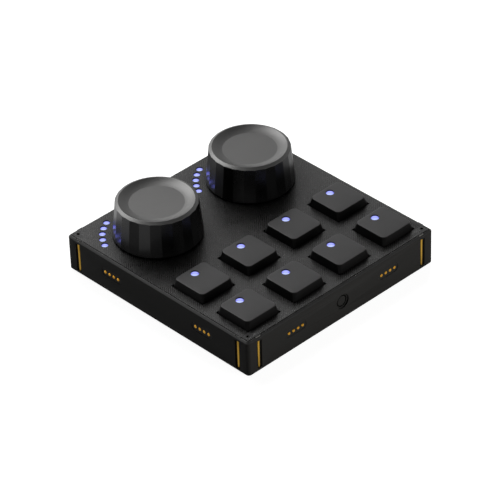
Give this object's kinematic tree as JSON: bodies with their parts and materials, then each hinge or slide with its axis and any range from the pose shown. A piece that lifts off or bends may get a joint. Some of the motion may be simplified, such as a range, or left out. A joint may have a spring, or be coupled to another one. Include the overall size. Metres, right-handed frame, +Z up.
{
  "type": "midi controller",
  "caption": "Square desktop MIDI controller module with backlit keys, faceted endless dials, lamp arcs, side magnets and spring contacts for docking to its neighbours.",
  "frame": {"origin": "on the desk, under the middle of the case", "axes": "+X to the player's right along the key rows, +Y away from the player, +Z up"},
  "size_m": [0.1066, 0.1066, 0.0345],
  "materials": {
    "case_plastic": "fine matt moulded black",
    "plate_laminate": "matt black laminate with a fine weave",
    "board_laminate": "glossy green solder mask",
    "cap_plastic": "satin charcoal",
    "window_lens": "diffusing, lit blue-violet",
    "lamp_lens": "diffusing, lit blue-violet",
    "lamp_chip": "white moulded package",
    "switch_plastic": "plain moulded",
    "stem_plastic": "self-lubricating acetal",
    "dial_metal": "turned, black anodised, satin top",
    "plain_steel": "bright nickel plated",
    "black_steel": "black oxide",
    "gold_plate": "polished gold plating",
    "magnet_plate": "gold plated over magnet alloy",
    "foot_rubber": "matt"
  },
  "bodies": {
    "case": {"case_frame": "case_plastic", "bottom_cover": "case_plastic", "faceplate": "plate_laminate", "main_board": "board_laminate", "lamp_guides": "lamp_lens", "lamp_chips": "lamp_chip", "key_1_switch": "switch_plastic", "key_2_switch": "switch_plastic", "key_3_switch": "switch_plastic", "key_4_switch": "switch_plastic", "key_5_switch": "switch_plastic", "key_6_switch": "switch_plastic", "key_7_switch": "switch_plastic", "key_8_switch": "switch_plastic", "button_switch": "switch_plastic", "contact_blocks": "switch_plastic", "usb_tongue": "switch_plastic", "board_chips": "switch_plastic", "encoder_bodies": "plain_steel", "encoder_nuts": "plain_steel", "usb_shell": "plain_steel", "board_screws": "plain_steel", "faceplate_screws": "black_steel", "cover_screws": "black_steel", "target_pads": "gold_plate", "magnet_bars": "magnet_plate", "rubber_feet": "foot_rubber"},
    "key_1": {"key_1_cap": "cap_plastic", "key_1_stem": "stem_plastic", "key_1_window": "window_lens"},
    "key_2": {"key_2_cap": "cap_plastic", "key_2_stem": "stem_plastic", "key_2_window": "window_lens"},
    "key_3": {"key_3_cap": "cap_plastic", "key_3_stem": "stem_plastic", "key_3_window": "window_lens"},
    "key_4": {"key_4_cap": "cap_plastic", "key_4_stem": "stem_plastic", "key_4_window": "window_lens"},
    "key_5": {"key_5_cap": "cap_plastic", "key_5_stem": "stem_plastic", "key_5_window": "window_lens"},
    "key_6": {"key_6_cap": "cap_plastic", "key_6_stem": "stem_plastic", "key_6_window": "window_lens"},
    "key_7": {"key_7_cap": "cap_plastic", "key_7_stem": "stem_plastic", "key_7_window": "window_lens"},
    "key_8": {"key_8_cap": "cap_plastic", "key_8_stem": "stem_plastic", "key_8_window": "window_lens"},
    "left_dial": {"left_knob": "dial_metal", "left_encoder_shaft": "plain_steel"},
    "right_dial": {"right_knob": "dial_metal", "right_encoder_shaft": "plain_steel"},
    "mode_button": {"mode_button": "cap_plastic"},
    "front_spring_pins": {"front_spring_pins": "gold_plate"},
    "right_spring_pins": {"right_spring_pins": "gold_plate"},
    "back_spring_pins": {"back_spring_pins": "gold_plate"},
    "left_spring_pins": {"left_spring_pins": "gold_plate"}
  },
  "joints": [
    {"name": "key_1_press", "type": "slide", "parent": "case", "child": "key_1", "axis": [0, 0, -1], "range_m": [0, 0.003], "stiffness_N_per_m": 70, "springref_m": -0.005},
    {"name": "key_2_press", "type": "slide", "parent": "case", "child": "key_2", "axis": [0, 0, -1], "range_m": [0, 0.003], "stiffness_N_per_m": 70, "springref_m": -0.005},
    {"name": "key_3_press", "type": "slide", "parent": "case", "child": "key_3", "axis": [0, 0, -1], "range_m": [0, 0.003], "stiffness_N_per_m": 70, "springref_m": -0.005},
    {"name": "key_4_press", "type": "slide", "parent": "case", "child": "key_4", "axis": [0, 0, -1], "range_m": [0, 0.003], "stiffness_N_per_m": 70, "springref_m": -0.005},
    {"name": "key_5_press", "type": "slide", "parent": "case", "child": "key_5", "axis": [0, 0, -1], "range_m": [0, 0.003], "stiffness_N_per_m": 70, "springref_m": -0.005},
    {"name": "key_6_press", "type": "slide", "parent": "case", "child": "key_6", "axis": [0, 0, -1], "range_m": [0, 0.003], "stiffness_N_per_m": 70, "springref_m": -0.005},
    {"name": "key_7_press", "type": "slide", "parent": "case", "child": "key_7", "axis": [0, 0, -1], "range_m": [0, 0.003], "stiffness_N_per_m": 70, "springref_m": -0.005},
    {"name": "key_8_press", "type": "slide", "parent": "case", "child": "key_8", "axis": [0, 0, -1], "range_m": [0, 0.003], "stiffness_N_per_m": 70, "springref_m": -0.005},
    {"name": "left_dial_turn", "type": "hinge", "parent": "case", "child": "left_dial", "pos_m": [-0.0265, 0.0265, 0.0335], "axis": [0, 0, -1], "continuous": true},
    {"name": "right_dial_turn", "type": "hinge", "parent": "case", "child": "right_dial", "pos_m": [0.0265, 0.0265, 0.0335], "axis": [0, 0, -1], "continuous": true},
    {"name": "mode_button_press", "type": "slide", "parent": "case", "child": "mode_button", "axis": [0, 1, 0], "range_m": [0, 0.0004], "stiffness_N_per_m": 1200, "springref_m": -0.0008},
    {"name": "front_spring_pins_press", "type": "slide", "parent": "case", "child": "front_spring_pins", "axis": [0, 1, 0], "range_m": [0, 0.0007], "stiffness_N_per_m": 1000, "springref_m": -0.001},
    {"name": "right_spring_pins_press", "type": "slide", "parent": "case", "child": "right_spring_pins", "axis": [-1, 0, 0], "range_m": [0, 0.0007], "stiffness_N_per_m": 1000, "springref_m": -0.001},
    {"name": "back_spring_pins_press", "type": "slide", "parent": "case", "child": "back_spring_pins", "axis": [0, -1, 0], "range_m": [0, 0.0007], "stiffness_N_per_m": 1000, "springref_m": -0.001},
    {"name": "left_spring_pins_press", "type": "slide", "parent": "case", "child": "left_spring_pins", "axis": [1, 0, 0], "range_m": [0, 0.0007], "stiffness_N_per_m": 1000, "springref_m": -0.001}
  ]
}
